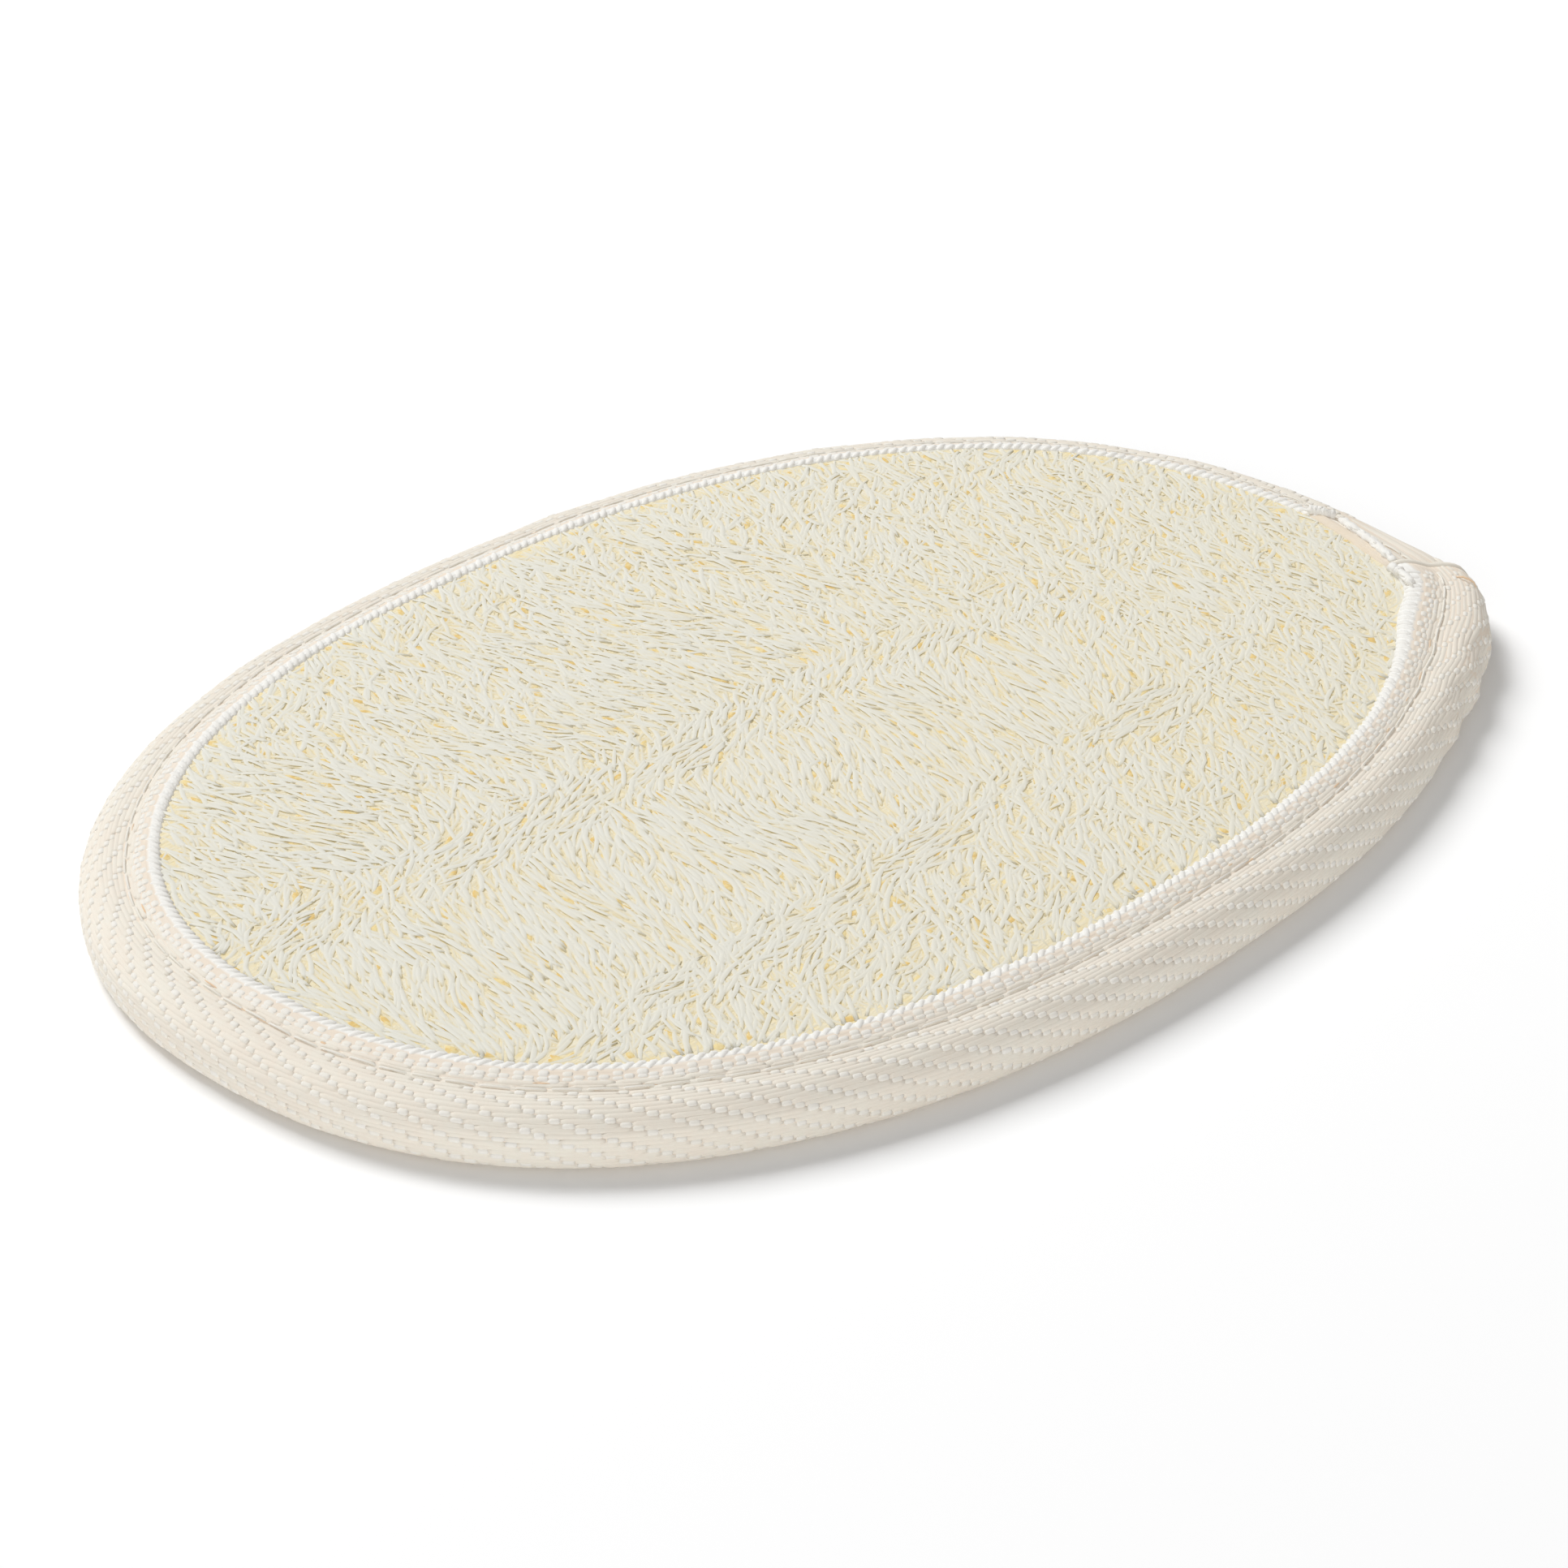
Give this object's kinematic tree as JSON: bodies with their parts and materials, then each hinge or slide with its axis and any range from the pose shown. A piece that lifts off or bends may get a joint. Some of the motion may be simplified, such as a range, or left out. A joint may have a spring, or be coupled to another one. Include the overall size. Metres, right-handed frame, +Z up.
{
  "type": "oval loofah scrubbing pad",
  "caption": "Flat oval scrubbing pad: a mat of natural loofah net with a raised fibre surface, its rim bound with folded woven cotton tape and sewn.",
  "frame": {"origin": "centre of the pad's outline in plan, on the plane that the pad rests on", "axes": "+X along the pad's length, +Y across it, +Z up through its thickness"},
  "size_m": [0.15, 0.1046, 0.0073],
  "materials": {
    "loofah": "dried fibre net, pale straw with ochre in its gaps",
    "cotton_tape": "unbleached cotton twill with a white selvedge",
    "cotton_thread": "matt sewing cotton"
  },
  "bodies": {
    "root": {"loofah_mat": "loofah", "edge_binding": "cotton_tape", "seam_thread_top": "cotton_thread", "seam_thread_bottom": "cotton_thread"}
  },
  "joints": []
}
